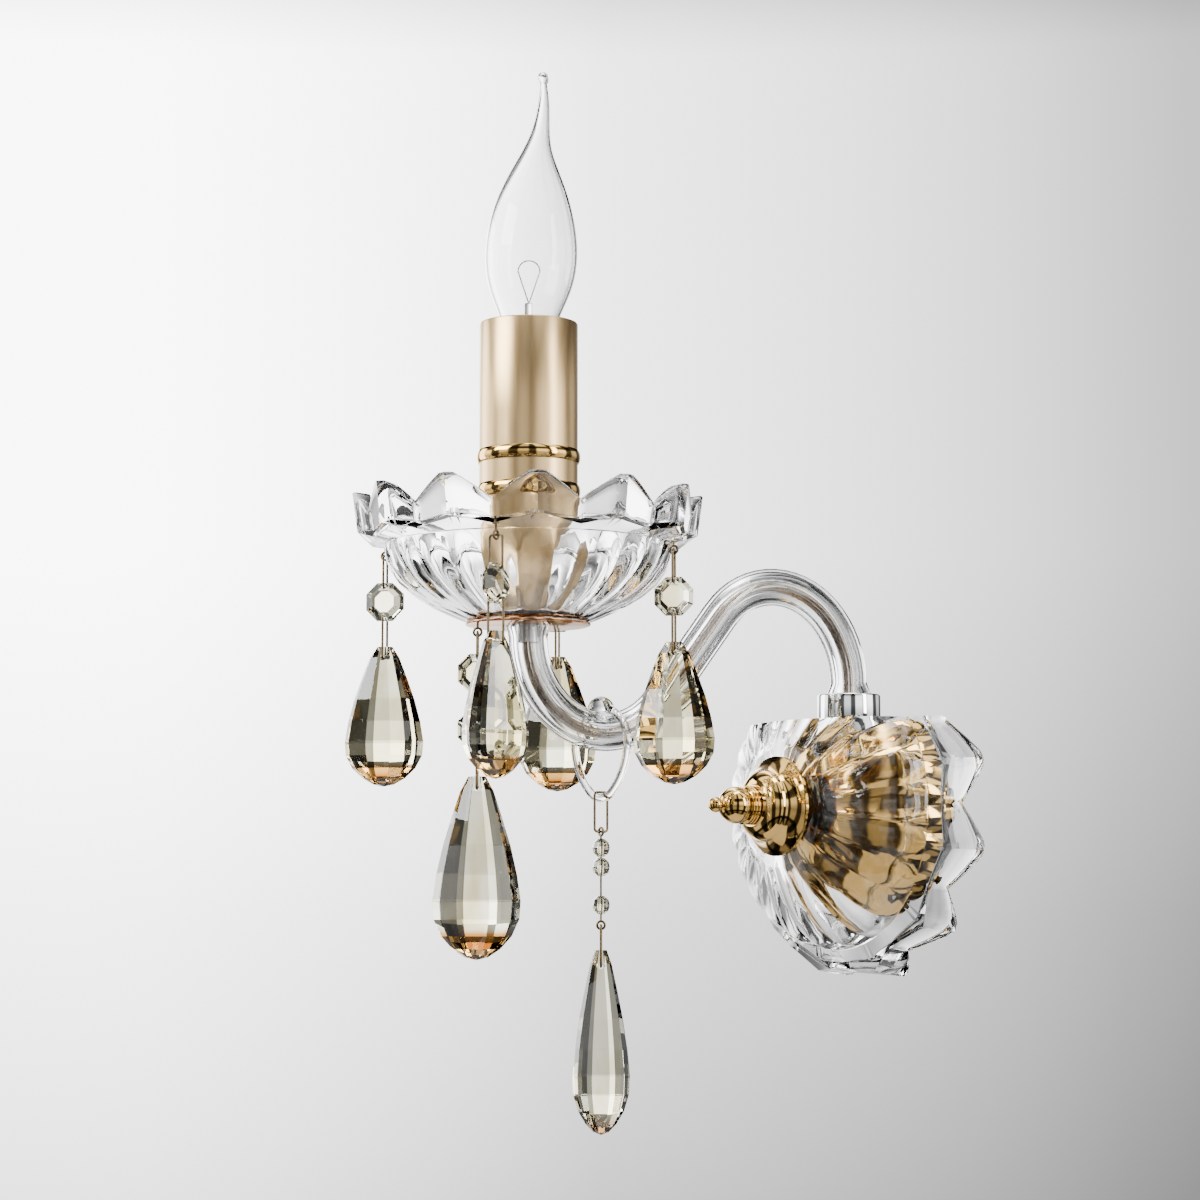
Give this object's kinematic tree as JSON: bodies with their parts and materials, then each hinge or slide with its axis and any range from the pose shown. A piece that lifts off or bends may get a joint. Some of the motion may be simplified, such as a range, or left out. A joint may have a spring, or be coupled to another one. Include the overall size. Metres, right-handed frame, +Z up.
{
  "type": "crystal wall sconce",
  "caption": "Wall sconce with a ribbed glass wall dish, a bent glass arm, a glass candle bowl, a gilt candle and cut crystal drops that hang from wire links.",
  "frame": {"origin": "on the wall plane, on the axis of the round wall dish", "axes": "+Z up, -Y out of the wall towards the room, +X to the right as seen from the room; the wall is the plane Y = 0"},
  "size_m": [0.1298, 0.228, 0.3892],
  "materials": {
    "clear_glass": "pressed clear glass, polished",
    "bent_glass": "clear drawn glass, smooth",
    "tinted_crystal": "cut crystal with a champagne tint, polished facets",
    "lamp_glass": "thin blown clear glass",
    "polished_gilt": "polished warm gold plate",
    "satin_champagne": "satin champagne gold",
    "copper_gilt": "satin copper gold",
    "chrome": "mirror chrome",
    "zinc_steel": "zinc plated steel",
    "brass": "plain brass",
    "antique_wire": "antique brass wire",
    "terminal_plastic": "moulded matte plastic",
    "black_plastic": "black moulded thermoset",
    "clear_lead": "clear flexible lead sheath",
    "filament_wire": "fine wire",
    "nickel": "nickel plated thread"
  },
  "bodies": {
    "root": {"arm_collar": "chrome", "arm_lead": "clear_lead", "arm_loop": "bent_glass", "arm_nipple": "zinc_steel", "arm_nipple_nut": "zinc_steel", "bowl_hooks": "antique_wire", "bracket_nut": "zinc_steel", "candle_bowl": "clear_glass", "candle_cup": "polished_gilt", "candle_nipple": "zinc_steel", "candle_sleeve": "satin_champagne", "canopy_nut": "zinc_steel", "canopy_shell": "polished_gilt", "cap_cup": "polished_gilt", "centre_rod": "zinc_steel", "cup_nut": "zinc_steel", "disc_hook": "antique_wire", "dish_washer": "brass", "earth_screw": "brass", "finial": "polished_gilt", "glass_arm": "bent_glass", "holder_contact": "brass", "holder_thread_shell": "brass", "lampholder": "black_plastic", "lower_ring": "polished_gilt", "pin_disc": "copper_gilt", "terminal_block": "terminal_plastic", "upper_ring": "polished_gilt", "wall_bracket": "zinc_steel", "wall_dish": "clear_glass"},
    "strand_front_right": {"links_front_right": "antique_wire", "octagon_front_right": "tinted_crystal"},
    "pendant_front_right": {"drop_front_right": "tinted_crystal"},
    "strand_front_left": {"links_front_left": "antique_wire", "octagon_front_left": "tinted_crystal"},
    "pendant_front_left": {"drop_front_left": "tinted_crystal"},
    "strand_rear_right": {"links_rear_right": "antique_wire", "octagon_rear_right": "tinted_crystal"},
    "pendant_rear_right": {"drop_rear_right": "tinted_crystal"},
    "strand_rear_left": {"links_rear_left": "antique_wire", "octagon_rear_left": "tinted_crystal"},
    "pendant_rear_left": {"drop_rear_left": "tinted_crystal"},
    "strand_front": {"links_front": "antique_wire", "octagon_front_upper": "tinted_crystal", "octagon_front_lower": "tinted_crystal"},
    "pendant_front": {"drop_front": "tinted_crystal"},
    "strand_arm": {"arm_clip": "antique_wire", "bead_wire": "antique_wire", "beads": "tinted_crystal", "arm_drop_link": "antique_wire"},
    "pendant_arm": {"drop_arm": "tinted_crystal"},
    "lamp": {"lamp_glass": "lamp_glass", "lamp_cap": "nickel", "lamp_tip_contact": "brass", "lamp_stem": "lamp_glass", "lamp_filament": "filament_wire"}
  },
  "joints": [
    {"name": "strand_swing_front_right", "type": "hinge", "parent": "root", "child": "strand_front_right", "pos_m": [0.03783, -0.20183, 0.0895], "axis": [0.9397, 0.342, 0], "range_deg": [-6, 6]},
    {"name": "drop_swing_front_right", "type": "hinge", "parent": "strand_front_right", "child": "pendant_front_right", "pos_m": [0.03783, -0.20183, 0.0517], "axis": [0.9397, 0.342, 0], "range_deg": [-12, 12]},
    {"name": "strand_swing_front_left", "type": "hinge", "parent": "root", "child": "strand_front_left", "pos_m": [-0.03783, -0.20183, 0.0895], "axis": [0.7071, -0.7071, 0], "range_deg": [-6, 6]},
    {"name": "drop_swing_front_left", "type": "hinge", "parent": "strand_front_left", "child": "pendant_front_left", "pos_m": [-0.03783, -0.20183, 0.0517], "axis": [0.7071, -0.7071, 0], "range_deg": [-12, 12]},
    {"name": "strand_swing_rear_right", "type": "hinge", "parent": "root", "child": "strand_rear_right", "pos_m": [0.03783, -0.12617, 0.0895], "axis": [0.7071, -0.7071, 0], "range_deg": [-6, 6]},
    {"name": "drop_swing_rear_right", "type": "hinge", "parent": "strand_rear_right", "child": "pendant_rear_right", "pos_m": [0.03783, -0.12617, 0.0517], "axis": [0.7071, -0.7071, 0], "range_deg": [-12, 12]},
    {"name": "strand_swing_rear_left", "type": "hinge", "parent": "root", "child": "strand_rear_left", "pos_m": [-0.03783, -0.12617, 0.0895], "axis": [-0.7071, 0.7071, 0], "range_deg": [-6, 6]},
    {"name": "drop_swing_rear_left", "type": "hinge", "parent": "strand_rear_left", "child": "pendant_rear_left", "pos_m": [-0.03783, -0.12617, 0.0517], "axis": [-0.7071, 0.7071, 0], "range_deg": [-12, 12]},
    {"name": "strand_swing_front", "type": "hinge", "parent": "root", "child": "strand_front", "pos_m": [0, -0.1855, 0.0595], "axis": [0.8192, -0.5736, 0], "range_deg": [-12, 12]},
    {"name": "drop_swing_front", "type": "hinge", "parent": "strand_front", "child": "pendant_front", "pos_m": [0, -0.1855, 0.0034], "axis": [0.8192, -0.5736, 0], "range_deg": [-20, 20]},
    {"name": "strand_swing_arm", "type": "hinge", "parent": "root", "child": "strand_arm", "pos_m": [0, -0.132, 0.0013], "axis": [1, 0, 0], "range_deg": [-15, 15]},
    {"name": "drop_swing_arm", "type": "hinge", "parent": "strand_arm", "child": "pendant_arm", "pos_m": [0, -0.132, -0.05995], "axis": [0.8192, -0.5736, 0], "range_deg": [-20, 20]},
    {"name": "lamp_lift", "type": "slide", "parent": "root", "child": "lamp", "axis": [0, 0, 1], "range_m": [0, 0.03]}
  ]
}
